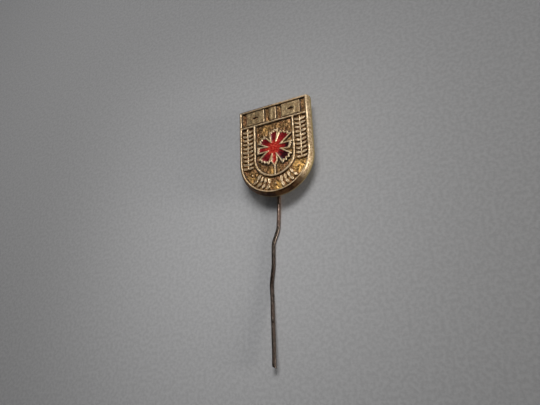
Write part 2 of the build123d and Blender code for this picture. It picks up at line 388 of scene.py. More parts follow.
def garland_distance(x, y):
    """Signed distance to the garland, and how deep in a leaf's groove each point is, from 0 to 1."""
    distance = np.full(np.shape(x), np.inf)
    groove = np.zeros(np.shape(x))
    for base, heading in leaf_places():
        leaf, across = leaf_distance(x, y, base, heading)
        distance = np.minimum(distance, leaf)
        groove = np.maximum(groove, (leaf < 0) * np.exp(-((across / GROOVE[0]) ** 2)))
    top = SIDE_START_Y + SIDE_LEAF_PAIRS * LEAF_PITCH
    for side in (-1, 1):
        foot = (side * GARLAND_RADIUS, SIDE_START_Y)
        spine = segment_distance(x, y, foot, (side * GARLAND_RADIUS, top)) - SPINE_WIDTH / 2
        distance = np.minimum(distance, spine)
    return distance, groove


def dot_heights(x, y):
    """The three round dots, as heights above the ground."""
    height = np.zeros(np.shape(x))
    for angle in DOT_ANGLES:
        place = polar(GARLAND_RADIUS, angle)
        away = np.hypot(x - place[0], y - place[1]) / (DOT_RADIUS * DOT_SKIRT)
        height = np.maximum(height, np.sqrt(np.clip(1 - away * away, 0, 1)) * RELIEF_DEPTH * DOT_SHARE)
    return height


def raised(distance, share, wall):
    """Height above the ground of raised work: full inside its outline, with a sloping wall."""
    return share * RELIEF_DEPTH * (1 - smooth_step(SHOULDER, wall, distance))


def flank_shade(x, y):
    """How dark the painted shade and tarnish are on the edge: full at the bottom, and less up the left
    side.
    """
    away = np.hypot(x, np.minimum(y, 0)) + 1e-6
    return smooth_step(0.0, 0.55, (-0.45 * x - 0.9 * np.minimum(y, 0)) / away)


def face_heights(x, y, depth):
    """Heights of the stamped face below the rim's top, and what its finish needs to know.

    depth is how far a point is inside the face's outline.
    """
    waver = ripple(x, y, *LINE_WAVER)
    rim = depth - RIM_WIDTH + waver * 0.5
    panel = panel_distance(x, y) + waver
    flower = outline_distance(x, y, flower_corners())
    petals = np.maximum(flower - LINE_OUTSIDE, -flower - LINE_INSIDE) + waver * 0.5
    petals = np.minimum(petals, stem_distance(x, y))
    blocks = block_distance(x, y) + waver * 0.5
    leaves, groove = garland_distance(x, y)
    leaves = leaves + waver * 1.2 - LEAF_GROWTH
    uneven = 1 + ripple(x, y, *LEAF_SWELL)
    layers = [
        raised(rim, *RIM_RISE),
        raised(panel, *PANEL_RISE),
        raised(petals, *FLOWER_RISE),
        raised(blocks, *BLOCK_RISE),
        raised(leaves, *LEAF_RISE) * uneven - groove * GROOVE[1],
        dot_heights(x, y),
    ]
    relief = np.maximum.reduce(layers)
    nearest = np.minimum.reduce([rim, panel, petals, blocks, leaves])
    open_ground = smooth_step(0.06, 0.2, nearest)
    grain = stipple(x, y, *GROUND_DOTS) + ripple(x, y, *GROUND_GRAIN)
    lumps = ripple(x, y, *GROUND_LUMPS) + ripple(x, y, *SMALL_LUMPS)
    plateau = smooth_step(0.02, 0.12, -blocks)
    pits = (stipple(x, y, *BLOCK_PITS) + ripple(x, y, *BLOCK_WEAR)) * plateau
    sway = ripple(x, y, *FACE_SWAY) + ripple(x, y, *SMALL_SWAY)
    height = relief - RELIEF_DEPTH + (grain + lumps) * open_ground - pits + sway
    # Painted reflected glow of warm light on the ground, in spots
    reflected_glow = np.zeros(np.shape(x))
    for spot_x, spot_y, spread, share in REFLECTED_GLOW_SPOTS:
        reflected_glow += share * np.exp(-((x - spot_x) ** 2 + (y - spot_y) ** 2) / (spread * spread))
    # Grime and painted shade: a dark band on the ground at the foot of raised work, where shade falls
    outside = np.maximum(nearest, 0)
    foot = smooth_step(-0.02, 0.06, nearest) * np.exp(-((np.maximum(outside - 0.1, 0) / 0.12) ** 2))
    looks = {
        "relief": np.clip(relief / RELIEF_DEPTH, 0, 1),
        "grime_and_shade": foot * (1 - 0.45 * np.clip(reflected_glow, 0, 1)) * (1 - 0.9 * smooth_step(0.6, 0.15, leaves)),
        "plateau": plateau,
        "reflected_glow": np.clip(reflected_glow, 0, 1),
        # Tarnish and painted shade on the outer rim, darker towards the bottom and the left
        "tarnish_and_shade": flank_shade(x, y) * (1 - smooth_step(0.1, 0.24, depth)),
    }
    return height, looks


# ======== Meshes ========

def shield_grid(columns, low_rows, high_rows, half, top, corner):
    """A grid of points that fills the shield's outline, rows from its round end to its top."""
    across = np.linspace(-1, 1, columns + 1)
    s, low = np.meshgrid(across, np.linspace(-1, 0, low_rows + 1))
    low_x = half * s * np.sqrt(1 - low * low / 2)
    low_y = half * low * np.sqrt(1 - s * s / 2)
    s, high = np.meshgrid(across, np.linspace(0, 1, high_rows + 1)[1:])
    x, y = np.vstack([low_x, half * s]), np.vstack([low_y, top * high])
    a = np.clip((np.abs(x) - (half - corner)) / corner, 0, 1)
    b = np.clip((y - (top - corner)) / corner, 0, 1)
    turned = (a > 0) & (b > 0)
    x = np.where(turned, np.sign(x) * (half - corner + corner * a * np.sqrt(1 - b * b / 2)), x)
    y = np.where(turned, top - corner + corner * b * np.sqrt(1 - a * a / 2), y)
    return x, y


def shield_depth(x, y, half, top, corner):
    """How far each point is inside the shield's outline."""
    across, along = half - np.abs(x), top - y
    square = np.minimum(across, along)
    in_corner = (across < corner) & (along < corner)
    turned = corner - np.hypot(corner - across, corner - along)
    upper = np.where(in_corner, turned, square)
    return np.where(y < 0, half - np.hypot(x, y), upper)


def outward(x, y, half, top, corner):
    """Outward directions at points on the shield's outline."""
    corner_x, corner_y = np.sign(x) * (half - corner), top - corner
    in_corner = (np.abs(x) > half - corner) & (y > top - corner)
    direction_x = np.where(y < 0, x, np.where(in_corner, x - corner_x, np.sign(x)))
    direction_y = np.where(y < 0, y, np.where(in_corner, y - corner_y, 0.0))
    on_top = (y >= top - 1e-6) & (np.abs(x) <= half - corner)
    direction_x = np.where(on_top, 0.0, direction_x)
    direction_y = np.where(on_top, 1.0, direction_y)
    length = np.hypot(direction_x, direction_y)
    return direction_x / length, direction_y / length


def grid_faces(rows, columns, flip=False):
    """Quads of a grid of rows by columns points."""
    index = np.arange(rows * columns).reshape(rows, columns)
    quads = np.stack([index[:-1, :-1], index[:-1, 1:], index[1:, 1:], index[1:, :-1]], -1).reshape(-1, 4)
    return quads[:, ::-1] if flip else quads


def border(rows, columns):
    """Indices of a grid's border, anticlockwise from its first corner."""
    index = np.arange(rows * columns).reshape(rows, columns)
    return np.concatenate([index[0, :-1], index[:-1, -1], index[-1, :0:-1], index[:0:-1, 0]])


def ring_faces(first, second, flip=False):
    """Quads between two closed rings of point indices."""
    quads = np.stack([first, np.roll(first, -1), np.roll(second, -1), second], -1)
    return quads[:, ::-1] if flip else quads


def fan_faces(ring, middle, flip=False):
    """Triangles from a closed ring to a middle point."""
    triangles = np.stack([ring, np.roll(ring, -1), np.full(len(ring), middle)], -1)
    return triangles[:, ::-1] if flip else triangles


def make_piece(name, points, face_groups, material, nodes, attributes=None):
    """A smooth mesh object from points in millimetres, riding on the pin in place of its CAD nodes."""
    mesh = bpy.data.meshes.new(name)
    faces = [tuple(face) for group in face_groups for face in group.tolist()]
    mesh.from_pydata((np.asarray(points) * MM).tolist(), [], faces)
    mesh.polygons.foreach_set("use_smooth", np.ones(len(mesh.polygons), bool))
    for key, values in (attributes or {}).items():
        layer = mesh.attributes.new(key, "FLOAT", "POINT")
        layer.data.foreach_set("value", np.asarray(values, np.float32))
    mesh.validate()
    mesh.update()
    mesh.materials.append(material)
    piece = bpy.data.objects.new(name, mesh)
    bpy.context.scene.collection.objects.link(piece)
    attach(piece, "root")
    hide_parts(*nodes)
    return piece


def stacked(x, y, z):
    return np.stack([np.ravel(x), np.ravel(y), np.ravel(z)], -1)


def arc_points(centre, radius, start, end, steps):
    """Points on an arc in the plane of a profile: (outward, height) pairs."""
    angles = np.radians(np.linspace(start, end, steps))
    return [(centre[0] + radius * math.cos(t), centre[1] + radius * math.sin(t)) for t in angles]


def shell_profile():
    """The edge's profile from the face's rim down the flank, round the lip and up inside the shell.

    Each point is how far it is outside the face's outline, and its height below the rim's top.
    """
    drop = THICKNESS - EDGE_HEIGHT
    slope = math.degrees(math.atan2(BEVEL_RUN, drop))
    lip_in = BEVEL_RUN - LIP_REACH
    profile = arc_points((-RIM_ROUND, -RIM_ROUND), RIM_ROUND, 80, slope, 6)
    profile += [(BEVEL_RUN * t, -drop * t) for t in (0.2, 0.35, 0.5, 0.65, 0.8)]
    profile += arc_points((BEVEL_RUN - FLANK_ROUND, -drop - 0.03), FLANK_ROUND, slope, 0, 5)
    profile += [(BEVEL_RUN, -drop - 0.2), (BEVEL_RUN, -drop - 0.33)]
    profile += arc_points((BEVEL_RUN - BACK_ROUND, -THICKNESS + BACK_ROUND), BACK_ROUND, 0, -90, 7)
    profile += [(lip_in + 0.3, -THICKNESS), (lip_in + LIP_ROUND, -THICKNESS)]
    profile += arc_points((lip_in + LIP_ROUND, -THICKNESS + LIP_ROUND), LIP_ROUND, -90, -180, 5)[1:]
    plate_low, plate_high = PLATE_LOW.z - FACE_Z, PLATE_HIGH.z - FACE_Z
    profile += [(lip_in, plate_low), (BEVEL_RUN - EDGE_WALL, plate_low)]
    profile += [(BEVEL_RUN - EDGE_WALL, plate_high), (BEVEL_RUN - CAVITY_INSET, plate_high)]
    profile += [(BEVEL_RUN - CAVITY_INSET, -RELIEF_DEPTH - WEB_THICKNESS)]
    return profile


def make_shell(material):
    """The stamped shell: a relief of fine quads, and its edge, flank and turned lip."""
    half, top, corner = FACE_HALF - GRID_INSET, FACE_TOP - GRID_INSET, FACE_CORNER - GRID_INSET
    columns = round(2 * half / GRID_STEP)
    low_rows, high_rows = round(half / GRID_STEP), round(top / GRID_STEP)
    x, y = shield_grid(columns, low_rows, high_rows, half, top, corner)
    depth = shield_depth(x, y, FACE_HALF, FACE_TOP, FACE_CORNER)
    height, looks = face_heights(x, y, depth)
    rows, width = x.shape
    points = [stacked(x, y + CENTRE_Y, height + FACE_Z)]
    groups = [grid_faces(rows, width)]
    loop = border(rows, width)
    loop_x, loop_y = x.ravel()[loop], y.ravel()[loop]
    out_x, out_y = outward(loop_x, loop_y, half, top, corner)
    attributes = {key: [values.ravel()] for key, values in looks.items()}
    attributes["flank"] = [np.zeros(rows * width)]
    last, total = loop, rows * width
    profile = shell_profile()
    shade = flank_shade(loop_x, loop_y)
    for out, down in profile:
        reach = out + GRID_INSET
        dent = ripple(loop_x, loop_y + down * 2, *FLANK_DENTS) * min(1.0, -down / 0.2)
        ring_x, ring_y = loop_x + out_x * (reach + dent), loop_y + out_y * (reach + dent)
        points.append(stacked(ring_x, ring_y + CENTRE_Y, np.full(len(loop), down + FACE_Z)))
        ring = total + np.arange(len(loop))
        groups.append(ring_faces(last, ring, flip=True))
        total += len(loop)
        last = ring
        share = min(1.0, max(0.0, -down / THICKNESS))
        # The edge's rings take tarnish and painted shade, darker towards the bottom
        level = {"tarnish_and_shade": shade, "relief": np.ones(len(loop))}
        for key in looks:
            attributes[key].append(level.get(key, np.zeros(len(loop))))
        attributes["flank"].append(np.full(len(loop), share))
    points.append(np.array([[0, CENTRE_Y + FACE_TOP / 3, profile[-1][1] + FACE_Z]]))
    groups.append(fan_faces(last, total, flip=True))
    for key in attributes:
        attributes[key].append(np.zeros(1))
    attributes = {key: np.concatenate(values) for key, values in attributes.items()}
    return make_piece("front_shell_relief", np.vstack(points), groups, material,
                      ["front_shell"], attributes)


def make_enamel(material):
    """The red enamel: it creeps up the flower's raised line, and each petal's pool sags a little."""
    reach = max(max(petal[2:]) for petal in PETALS) + 0.3
    count = round(2 * reach / ENAMEL_STEP)
    line = np.linspace(-reach, reach, count + 1)
    x, y = np.meshgrid(line, line + FLOWER_Y)
    inside = outline_distance(x, y, flower_corners())
    wall = -inside - LINE_INSIDE
    from_middle = np.hypot(x, y - FLOWER_Y)
    crown, spread = ENAMEL_CROWN
    height = ENAMEL_TOP - ENAMEL_SAG * smooth_step(-0.02, 0.25, wall)
    height += crown * np.exp(-((from_middle / spread) ** 2))
    height += ripple(x, y, *ENAMEL_SWELL) + ripple(x, y, *ENAMEL_RIPPLE)
    turn = np.degrees(np.arctan2(y - FLOWER_Y, x))
    closest, depth = np.full(np.shape(x), np.inf), np.zeros(np.shape(x))
    for angle, shade in SHADES.items():
        away = np.abs((turn - angle + 180) % 360 - 180)
        depth = np.where(away < closest, shade, depth)
        closest = np.minimum(closest, away)
    depth = depth * smooth_step(0.8, 2.7, from_middle + ripple(x, y, *SHADE_DRIFT))
    used = inside < -ENAMEL_GAP
    cells = used[:-1, :-1] & used[:-1, 1:] & used[1:, 1:] & used[1:, :-1]
    rows, columns = x.shape
    quads = grid_faces(rows, columns)[cells.ravel()]
    kept = np.unique(quads)
    renumber = np.full(rows * columns, -1)
    renumber[kept] = np.arange(len(kept))
    quads = renumber[quads]
    top = stacked(x, y + CENTRE_Y, height + FACE_Z)[kept]
    base = top.copy()
    base[:, 2] = FACE_Z - RELIEF_DEPTH - ENAMEL_SINK
    edges = np.concatenate([quads[:, [i, (i + 1) % 4]] for i in range(4)])
    key = edges[:, 0] * (len(kept) + 1) + edges[:, 1]
    back = edges[:, 1] * (len(kept) + 1) + edges[:, 0]
    rim = edges[~np.isin(key, back)]
    walls = np.stack([rim[:, 1], rim[:, 0], rim[:, 0] + len(kept), rim[:, 1] + len(kept)], -1)
    under = quads[:, ::-1] + len(kept)
    attributes = {"depth": np.tile(depth.ravel()[kept], 2)}
    return make_piece("red_enamel_pool", np.vstack([top, base]), [quads, under, walls], material,
                      ["red_enamel"], attributes)


# ======== Needle ========

def rounded_route(points, radii):
    """Points along straight runs joined by tangent arcs."""
    points = [np.array(point, float) for point in points]
    route = [points[0]]
    for before, corner, after, radius in zip(points, points[1:], points[2:], radii):
        come, go = corner - before, after - corner
        come, go = come / np.linalg.norm(come), go / np.linalg.norm(go)
        turn = math.acos(float(np.clip(come @ go, -1, 1)))
        tangent = radius * math.tan(turn / 2)
        normal = (go - come) / np.linalg.norm(go - come)
        centre = corner + normal * radius / math.cos(turn / 2)
        start = corner - come * tangent
        spoke = start - centre
        steps = max(4, round(radius * turn / ROUTE_STEP))
        for t in np.linspace(0, turn, steps + 1):
            route.append(centre + spoke * math.cos(t) + come * radius * math.sin(t))
    route.append(points[-1])
    dense = [route[0]]
    for point in route[1:]:
        gap = point - dense[-1]
        parts = max(1, math.ceil(np.linalg.norm(gap) / ROUTE_GAP))
        start = dense[-1]
        dense += [start + gap * (i + 1) / parts for i in range(parts)]
    return np.array(dense)


def wire_rings(route, radius):
    """Rings of points round a route, turned without twist, and the route's last direction."""
    tangents = np.gradient(route, axis=0)
    tangents /= np.linalg.norm(tangents, axis=1)[:, None]
    side = np.array([1.0, 0, 0])
    rings = []
    for point, tangent, thickness in zip(route, tangents, radius):
        side = side - tangent * (side @ tangent)
        side /= np.linalg.norm(side)
        other = np.cross(tangent, side)
        turn = np.linspace(0, 2 * math.pi, WIRE_SIDES, endpoint=False)[:, None]
        rings.append(point + thickness * (np.cos(turn) * side + np.sin(turn) * other))
    return rings, tangents[-1]


def needle_route():
    """The wire's centreline in the row's frame, from its riveted head to its tip."""
    floor_z = WIRE_RADIUS + NEEDLE_LOW.z
    tip_y = NEEDLE_LOW.y - CENTRE_Y
    points = [
        (0, ANCHOR_Y, NEEDLE_HIGH.z),
        (0, ANCHOR_Y, floor_z),
        (*KINK_START, floor_z),
        (*KINK_END, floor_z),
        (*LIFT_START, floor_z),
        (TIP_X, tip_y, floor_z + TIP_RISE),
    ]
    points = [(x, y + CENTRE_Y, z) for x, y, z in points]
    return rounded_route(points, [NECK_BEND, KINK_RADIUS, KINK_RADIUS, LIFT_RADIUS])


def make_needle(material):
    """The drawn wire, a little uneven, with its end nipped off at a slant and a burr on the cut."""
    route = needle_route()
    along = np.concatenate([[0], np.cumsum(np.linalg.norm(np.diff(route, axis=0), axis=1))])
    length = along[-1]
    past_badge = smooth_step(4, 9, along) * (1 - smooth_step(length - 2, length, along))
    route[:, 0] += ripple(along, along * 0, *WIRE_SWAY) * past_badge
    for place, spread, shift in WIRE_DENTS:
        route[:, 0] += shift * np.exp(-(((along - place) / spread) ** 2))
    radius = WIRE_RADIUS * (1 - WIRE_THINNING[1] - ripple(along, along * 0 + 9, *WIRE_THINNING))
    rings, tangent = wire_rings(route, radius)
    cut_slope = math.tan(math.radians(TIP_CUT_ANGLE))
    for index in range(1, CUT_RINGS + 1):
        sideways = rings[-index][:, 0] - route[-index, 0]
        pull = (sideways - WIRE_RADIUS) * cut_slope * (1 - (index - 1) / CUT_RINGS)
        rings[-index] = rings[-index] + pull[:, None] * tangent
    end = rings[-1]
    centre = end.mean(0)
    rings += [centre + (end - centre) * share + tangent * out for share, out in BURR]
    points = np.vstack([*rings, [centre + tangent * BURR[-1][1]], [route[0]]])
    order = np.arange(len(rings) * WIRE_SIDES).reshape(len(rings), WIRE_SIDES)
    groups = [ring_faces(first, second) for first, second in zip(order, order[1:])]
    groups.append(fan_faces(order[-1], order.size))
    groups.append(fan_faces(order[0], order.size + 1, flip=True))
    reach = np.concatenate([along, np.full(len(BURR), length)])
    reach = np.concatenate([np.repeat(reach, WIRE_SIDES), [length, 0]])
    turn = np.tile(np.linspace(0, 1, WIRE_SIDES, endpoint=False), len(rings))
    attributes = {"along": reach, "around": np.concatenate([turn, [0, 0]])}
    return make_piece("needle_wire", points, groups, material, ["needle"], attributes)


# ======== Back of the badge ========

def lathe(profile, sides, wobble=None):
    """Points and faces of a closed body turned about the needle's neck, from (radius, height) pairs."""
    turn = np.linspace(0, 2 * math.pi, sides, endpoint=False)
    points, groups = [], []
    for index, (radius, height) in enumerate(profile):
        spread = radius + (wobble(index, turn) if wobble else 0)
        x, y = spread * np.cos(turn), spread * np.sin(turn) + CENTRE_Y + ANCHOR_Y
        points.append(stacked(x, y, np.full(sides, height)))
    order = np.arange(len(profile) * sides).reshape(len(profile), sides)
    for index in range(len(profile)):
        groups.append(ring_faces(order[index - 1], order[index], flip=True))
    return np.vstack(points), groups


def make_collar(material):
    """The turned collar, with rounded edges and a bore that the wire fills."""
    flange = COLLAR_HIGH.x - 0.03
    top, low = COLLAR_HIGH.z, COLLAR_LOW.z
    step = top - FLANGE_HEIGHT
    bore = WIRE_RADIUS + BORE_CLEARANCE
    profile = [(bore, top), (flange - 0.05, top)]
    profile += arc_points((flange - 0.06, step + 0.06), 0.06, 0, -90, 5)
    profile += arc_points((BARREL_RADIUS + 0.07, step - 0.07), 0.07, 90, 180, 5)
    profile += arc_points((BARREL_RADIUS - 0.09, low + 0.09), 0.09, 0, -90, 6)
    profile += arc_points((bore + 0.1, low + 0.1), 0.1, -90, -180, 6)
    points, groups = lathe(profile, COLLAR_SIDES)
    return make_piece("needle_collar_turned", points, groups, material, ["needle_collar"])


def make_solder(material):
    """The soldered joint: an uneven fillet that runs out over the plate and up the flange."""
    flange = COLLAR_HIGH.x - 0.04
    outer, top = SOLDER_HIGH.x, SOLDER_HIGH.z
    low = SOLDER_LOW.z
    profile = [(flange, top), (outer - 0.02, top), (outer - 0.04, top - 0.03)]
    for share in (0.15, 0.3, 0.45, 0.6, 0.75, 0.9):
        out = flange + (outer - flange) * (1 - share) ** SOLDER_CURVE
        profile.append((out + 0.02, top + (low - top) * share))
    profile.append((flange, low + 0.005))

    def wobble(index, turn):
        """The outer side waves, less near the flange, and the side that touches the flange stays round."""
        if index in (0, len(profile) - 1):
            return 0 * turn
        swell = sum(size * np.sin(turn * waves + start) for size, waves, start in SOLDER_WAVES)
        return (swell - SOLDER_DRAW_IN) * (1.0 if index < 4 else 0.5)

    points, groups = lathe(profile, SOLDER_SIDES, wobble)
    return make_piece("solder_joint", points, groups, material, ["solder_fillet"])


def make_plate(material):
    """The plate behind the badge: rolled sheet, a little dished and dinted, with a soft edge."""
    inset = PLATE_HIGH.x - FACE_HALF
    half, top = FACE_HALF + inset - PLATE_ROUND, FACE_TOP + inset - PLATE_ROUND
    corner = FACE_CORNER + inset
    step = 0.16
    x, y = shield_grid(round(2 * half / step), round(half / step), round(top / step), half, top, corner)
    depth = shield_depth(x, y, half, top, corner)
    sunk = smooth_step(0.5, 2.0, depth)
    dints = ripple(x, y, *PLATE_DISH) + ripple(x, y, *PLATE_DINTS)
    clear_of_neck = smooth_step(1.6, 3.2, np.hypot(x, y - ANCHOR_Y))
    low = PLATE_LOW.z + np.maximum((PLATE_DISH[1] + dints) * sunk * clear_of_neck, 0)
    rows, width = x.shape
    points = [stacked(x, y + CENTRE_Y, low)]
    groups = [grid_faces(rows, width, flip=True)]
    loop = border(rows, width)
    out_x, out_y = outward(x.ravel()[loop], y.ravel()[loop], half, top, corner)
    last, total = loop, rows * width
    edge_low, edge_high = PLATE_LOW.z + PLATE_ROUND, PLATE_HIGH.z - PLATE_ROUND
    for out, height in ((PLATE_ROUND, edge_low), (PLATE_ROUND, edge_high), (0.0, PLATE_HIGH.z)):
        ring_x, ring_y = x.ravel()[loop] + out_x * out, y.ravel()[loop] + out_y * out
        points.append(stacked(ring_x, ring_y + CENTRE_Y, np.full(len(loop), height)))
        ring = total + np.arange(len(loop))
        groups.append(ring_faces(last, ring))
        last, total = ring, total + len(loop)
    points.append(np.array([[0, CENTRE_Y + FACE_TOP / 3, PLATE_HIGH.z]]))
    groups.append(fan_faces(last, total))
    return make_piece("back_plate_sheet", np.vstack(points), groups, material,
                      ["back_plate"])


# ======== Materials ========

class Graph:
    """A short way to write a material's nodes."""

    def __init__(self, name):
        self.material = bpy.data.materials.new(name)
        self.material.use_nodes = True
        self.tree = self.material.node_tree
        self.shader = self.tree.nodes["Principled BSDF"]

    def node(self, kind, inputs=None, **settings):
        node = self.tree.nodes.new(kind)
        for key, value in settings.items():
            setattr(node, key, value)
        for key, value in (inputs or {}).items():
            self.put(node.inputs[key], value)
        return node

    def put(self, socket, value):
        if hasattr(value, "is_output"):
            self.tree.links.new(value, socket)
        else:
            socket.default_value = value

    def attribute(self, name):
        return self.node("ShaderNodeAttribute", attribute_name=name).outputs["Fac"]

    def place(self):
        """The piece's own coordinates, in millimetres."""
        source = self.node("ShaderNodeTexCoord").outputs["Object"]
        inputs = {"Vector": source, "Scale": (1 / MM, 1 / MM, 1 / MM)}
        return self.node("ShaderNodeMapping", inputs).outputs[0]

    def noise(self, place, scale, detail, rough, distort=0.0):
        """Clouded noise, mostly between 0.3 and 0.7, with scale waves in a millimetre."""
        inputs = {"Vector": place, "Scale": scale, "Detail": detail}
        inputs.update({"Roughness": rough, "Distortion": distort})
        return self.node("ShaderNodeTexNoise", inputs).outputs["Fac"]

    def cells(self, place, scale):
        """Small round pits, scale of them in a millimetre."""
        return self.node("ShaderNodeTexVoronoi", {"Vector": place, "Scale": scale}).outputs["Distance"]

    def math(self, operation, first, second=0.0):
        return self.node("ShaderNodeMath", {0: first, 1: second}, operation=operation).outputs[0]

    def remap(self, value, low, high, to_low=0.0, to_high=1.0):
        """A smooth remap of value from low..high to to_low..to_high."""
        inputs = {"Value": value, "From Min": low, "From Max": high, "To Min": to_low, "To Max": to_high}
        return self.node("ShaderNodeMapRange", inputs, interpolation_type="SMOOTHSTEP").outputs["Result"]

    def mix(self, share, first, second):
        """A blend of two colours."""
        node = self.node("ShaderNodeMix", data_type="RGBA")
        self.put(node.inputs[0], share)
        self.put(node.inputs[6], first)
        self.put(node.inputs[7], second)
        return node.outputs[2]

    def patches(self, value, low, high, colours):
        """The first colour where value is under low, the second where it is over high."""
        return self.mix(self.remap(value, low, high), *colours)

    def bump(self, height, strength, distance, normal=None):
        """A bumped normal, of a depth in millimetres."""
        inputs = {"Height": height, "Strength": strength, "Distance": distance * MM}
        if normal is not None:
            inputs["Normal"] = normal
        return self.node("ShaderNodeBump", inputs).outputs[0]

    def finish(self, **sockets):
        for key, value in sockets.items():
            self.put(self.shader.inputs[key.replace("_", " ")], value)
        return self.material


def rgb(red, green, blue):
    return (red, green, blue, 1.0)


# ---- Linear colours of the badge: a pair is mixed in patches ----
GROUND = (rgb(0.11, 0.048, 0.016), rgb(0.42, 0.245, 0.105))
WORN_GROUND = rgb(0.66, 0.44, 0.22)
ROSY_GROUND = rgb(0.40, 0.16, 0.09)
# Painted reflected glow: warm gold light on the ground
REFLECTED_GLOW_GOLD = rgb(0.95, 0.56, 0.17)
RIDGES = (rgb(0.97, 0.74, 0.47), rgb(0.60, 0.395, 0.20))
BLOCKS = (rgb(0.56, 0.41, 0.225), rgb(0.33, 0.215, 0.11))
# Grime and painted shade in the creases at the foot of raised work
GRIME_AND_SHADE = rgb(0.018, 0.009, 0.004)
FLANK = (rgb(0.81, 0.61, 0.38), rgb(0.37, 0.245, 0.12))
FLANK_FOOT = rgb(0.40, 0.31, 0.14)
# Tarnish and painted shade on the lower edge, which faces away from the lights
TARNISH_AND_SHADE = (rgb(0.055, 0.022, 0.009), rgb(0.17, 0.08, 0.03))
SHADED_TARNISHED_FOOT = rgb(0.36, 0.27, 0.14)

# ---- Enamel, from its thin middle to its deep petals ----
THIN_RED = (rgb(0.56, 0.012, 0.008), rgb(0.92, 0.095, 0.055))
CRIMSON = (rgb(0.16, 0.004, 0.006), rgb(0.40, 0.014, 0.022))
DEEP_CRIMSON = (rgb(0.018, 0.002, 0.004), rgb(0.07, 0.006, 0.012))

# ---- Wire, and where along it in millimetres each finish begins and ends ----
BRASSY_WIRE = (rgb(0.16, 0.095, 0.07), rgb(0.50, 0.37, 0.30))
STEEL_WIRE = (rgb(0.035, 0.026, 0.020), rgb(0.235, 0.19, 0.16))
BURNT_WIRE = rgb(0.022, 0.015, 0.012)
RUST = rgb(0.065, 0.037, 0.025)
BRASSY_END = (15.8, 17.8)
BURNT_START = (23.8, 26.2)
BURNT_END = (31.0, 28.0)
RUST_START = (20.0, 36.0)

# ---- Back of the badge, and floor ----
PLATE_BRASS = (rgb(0.52, 0.38, 0.18), rgb(0.26, 0.18, 0.09))
COLLAR_BRASS = (rgb(0.62, 0.46, 0.22), rgb(0.33, 0.22, 0.1))
SOLDER_GREY = (rgb(0.50, 0.49, 0.47), rgb(0.24, 0.23, 0.22))
FLOOR_GREY = (rgb(0.565, 0.566, 0.574), rgb(0.65, 0.651, 0.66))


def gilt_material():
    """Worn gilt brass: pale bright ridges, brown stippled ground, black grime and painted shade where walls
    meet it, a painted reflected glow in spots on the ground, and tarnish and painted shade on the lower
    edge.
    """
    g = Graph("gilt_brass_worn")
    place = g.place()
    relief, grime_and_shade, plateau = g.attribute("relief"), g.attribute("grime_and_shade"), g.attribute("plateau")
    flank, tarnish_and_shade, reflected_glow = g.attribute("flank"), g.attribute("tarnish_and_shade"), g.attribute("reflected_glow")
    blotch = g.noise(place, 0.8, 4.0, 0.6)
    mottle = g.noise(place, 2.1, 3.0, 0.6)
    fine = g.noise(place, 3.6, 3.0, 0.62)
    ground = g.patches(fine, 0.38, 0.62, GROUND)
    worn = g.remap(g.noise(place, 4.4, 2.0, 0.5), 0.54, 0.70, 0.0, 0.6)
    ground = g.mix(worn, ground, WORN_GROUND)
    rosy = g.remap(g.noise(place, 0.9, 2.0, 0.5, 0.4), 0.52, 0.66, 0.0, 0.45)
    ground = g.mix(rosy, ground, ROSY_GROUND)
    # Painted reflected glow in spots on the ground
    glow = g.math("MULTIPLY", reflected_glow, g.remap(mottle, 0.36, 0.56, 0.35, 1.0))
    ground = g.mix(glow, ground, REFLECTED_GLOW_GOLD)
    raised_work = g.patches(mottle, 0.42, 0.66, RIDGES)
    raised_work = g.mix(plateau, raised_work, g.patches(mottle, 0.38, 0.62, BLOCKS))
    colour = g.mix(g.remap(relief, 0.45, 0.8), ground, raised_work)
    # Grime and painted shade darken the ground at the foot of raised work
    dirt_and_shade = g.math("MULTIPLY", grime_and_shade, g.remap(blotch, 0.3, 0.6, 0.75, 1.0))
    colour = g.mix(dirt_and_shade, colour, GRIME_AND_SHADE)
    side = g.remap(flank, 0.05, 0.15)
    edge = g.patches(mottle, 0.40, 0.62, FLANK)
    edge = g.mix(g.remap(flank, 0.35, 0.75), edge, FLANK_FOOT)
    colour = g.mix(side, colour, edge)
    # Tarnish and painted shade, darker towards the bottom of the edge
    brown = g.patches(blotch, 0.4, 0.62, TARNISH_AND_SHADE)
    brown = g.mix(g.remap(flank, 0.66, 0.86), brown, SHADED_TARNISHED_FOOT)
    colour = g.mix(tarnish_and_shade, colour, brown)
    rough = g.remap(mottle, 0.35, 0.65, 0.28, 0.5)
    rough = g.math("ADD", rough, g.math("MULTIPLY", side, 0.14))
    dull = g.math("MAXIMUM", g.math("MULTIPLY", grime_and_shade, 0.75), g.math("MULTIPLY", side, 0.25))
    metal = g.math("SUBTRACT", 1.0, dull)
    normal = g.bump(g.noise(place, 18.0, 3.0, 0.6), 0.2, 0.02)
    normal = g.bump(g.noise(place, 3.0, 4.0, 0.6), 0.4, 0.06, normal)
    return g.finish(Base_Color=colour, Roughness=rough, Metallic=metal, Normal=normal)


def enamel_material():
    """Glossy red enamel over gilt: bright where it is thin in the middle, deep crimson in the petals."""
    g = Graph("red_enamel_gloss")
    place = g.place()
    depth = g.attribute("depth")
    cloud = g.noise(place, 1.5, 3.0, 0.6)
    sparkle = g.noise(place, 2.6, 3.0, 0.6)
    thin = g.patches(sparkle, 0.40, 0.64, THIN_RED)
    middle = g.patches(cloud, 0.35, 0.65, CRIMSON)
    deep = g.patches(cloud, 0.35, 0.7, DEEP_CRIMSON)
    colour = g.mix(g.remap(depth, 0.02, 0.5), thin, middle)
    colour = g.mix(g.remap(depth, 0.55, 1.0), colour, deep)
    rough = g.remap(g.noise(place, 5.0, 2.0, 0.5), 0.3, 0.7, 0.25, 0.4)
    normal = g.bump(g.noise(place, 2.8, 3.0, 0.55), 0.45, 0.06)
    return g.finish(Base_Color=colour, Roughness=rough, Specular_IOR_Level=0.1, Normal=normal,
                    Coat_Weight=0.3, Coat_Roughness=0.05, Coat_Normal=normal)


